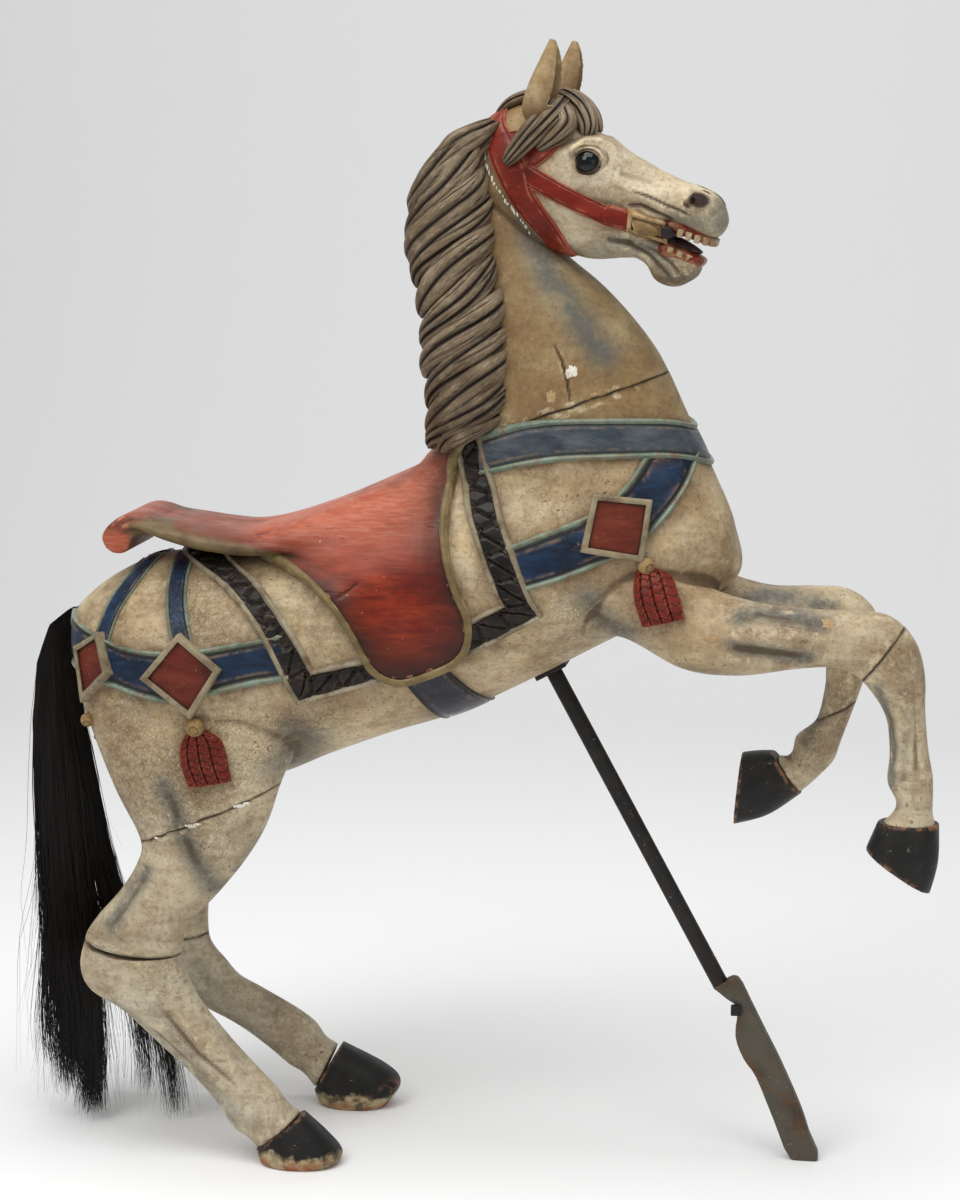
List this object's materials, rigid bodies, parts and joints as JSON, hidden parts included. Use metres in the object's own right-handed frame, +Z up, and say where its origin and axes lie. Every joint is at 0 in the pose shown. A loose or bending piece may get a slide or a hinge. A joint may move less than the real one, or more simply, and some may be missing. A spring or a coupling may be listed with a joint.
{
  "type": "carousel horse",
  "caption": "Carved and painted wooden carousel horse rearing on its hind hooves and a slanting iron pole, with saddle, blanket, jewelled harness and horsehair tail.",
  "frame": {"origin": "on the floor, below the centre of the object's bounding box", "axes": "+Z up, +X the way the horse faces, +Y towards its left side"},
  "size_m": [1.161, 0.323, 1.402],
  "materials": {
    "painted_wood": "old oil paint, cream, red, blue-grey, black and ochre, worn, with grime in the hollows",
    "eye_glass": "dark glass, glossy",
    "horsehair": "real horsehair, near black",
    "iron": "dark iron, worn",
    "rusty_iron": "grey-green paint over rust"
  },
  "bodies": {
    "root": {"body": "painted_wood", "head_and_neck": "painted_wood", "hind_thigh_right": "painted_wood", "hind_thigh_left": "painted_wood", "hind_shank_right": "painted_wood", "hind_shank_left": "painted_wood", "fore_shank_right": "painted_wood", "fore_shank_left": "painted_wood", "eye_right": "eye_glass", "eye_left": "eye_glass", "tail": "horsehair", "belly_plate": "iron", "pole": "iron", "pole_foot": "rusty_iron", "foot_bolt": "rusty_iron"}
  },
  "joints": []
}
